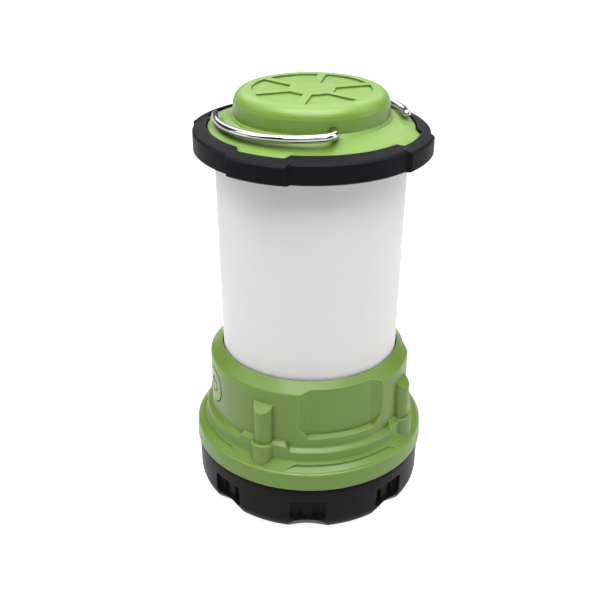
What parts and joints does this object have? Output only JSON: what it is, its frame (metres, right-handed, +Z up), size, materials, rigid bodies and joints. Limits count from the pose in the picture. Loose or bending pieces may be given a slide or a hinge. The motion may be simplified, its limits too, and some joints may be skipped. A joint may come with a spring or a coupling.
{
  "type": "camping lantern",
  "caption": "Upright battery camping lantern: frosted cylindrical globe between a ribbed green housing with twist-off base and a domed cap with bumper ring and two folding wire hooks.",
  "frame": {"origin": "centre of the base at the level of the feet", "axes": "+Z up along the lantern's axis, power button on -X, hook hinges along Y, one on each side of X = 0"},
  "size_m": [0.1068, 0.1068, 0.1888],
  "materials": {
    "green_plastic": "satin moulded, fine texture",
    "black_plastic": "matte moulded",
    "black_rubber": "matte",
    "silicone": "soft matte",
    "frosted_plastic": "frosted, light-scattering",
    "button_plastic": "translucent, smooth",
    "chrome_wire": "polished plating",
    "steel": "zinc plated",
    "nickel_plate": "nickel plated",
    "cell_wrap": "satin sleeve",
    "circuit_board": "solder mask",
    "lead_sleeve": "insulated",
    "ferrite": "sintered",
    "aluminium": "plain sheet",
    "white_plastic": "bright white",
    "phosphor": "silicone dome"
  },
  "bodies": {
    "lantern": {"base_housing": "green_plastic", "top_cap": "green_plastic", "bumper_ring": "black_rubber", "diffuser": "frosted_plastic", "battery_holder": "black_plastic", "holder_screws": "steel", "d_cell_a": "cell_wrap", "d_cell_b": "cell_wrap", "d_cell_c": "cell_wrap", "positive_plate": "nickel_plate", "return_contact": "nickel_plate", "button_seal": "silicone", "tact_switch": "black_plastic", "switch_board": "circuit_board", "switch_screws": "steel", "switch_leads": "lead_sleeve", "driver_board": "circuit_board", "driver_inductor": "ferrite", "driver_capacitor": "aluminium", "driver_chip": "black_plastic", "deck_spacers": "white_plastic", "heat_spreader": "aluminium", "deck_screws": "steel", "led_board": "white_plastic", "led_screws": "steel", "led_chips": "phosphor", "led_leads": "lead_sleeve", "reflector_tray": "white_plastic", "diffuser_gasket": "silicone", "cap_gasket": "silicone", "reflector_cone": "white_plastic", "cap_screws": "steel"},
    "cover": {"battery_cover": "black_plastic", "cover_seal": "silicone", "cover_contact_plate": "nickel_plate", "cover_screws": "steel", "cover_springs": "nickel_plate"},
    "button": {"power_button": "button_plastic", "switch_plunger": "black_plastic"},
    "hook_a": {"hook_left": "chrome_wire", "hook_left_clip": "steel"},
    "hook_b": {"hook_right": "chrome_wire", "hook_right_clip": "steel"}
  },
  "joints": [
    {"name": "cover_twist", "type": "hinge", "parent": "lantern", "child": "cover", "pos_m": [0, 0, 0.02], "axis": [0, 0, -1], "range_deg": [0, 30]},
    {"name": "button_press", "type": "slide", "parent": "lantern", "child": "button", "axis": [1, 0, 0], "range_m": [0, 0.0008], "stiffness_N_per_m": 1500, "springref_m": -0.0006},
    {"name": "hook_left_swing", "type": "hinge", "parent": "lantern", "child": "hook_a", "pos_m": [-0.0027, -0.03, 0.1802], "axis": [0, 1, 0], "range_deg": [0, 92]},
    {"name": "hook_right_swing", "type": "hinge", "parent": "lantern", "child": "hook_b", "pos_m": [0.0027, 0.03, 0.1802], "axis": [0, -1, 0], "range_deg": [0, 92]}
  ]
}
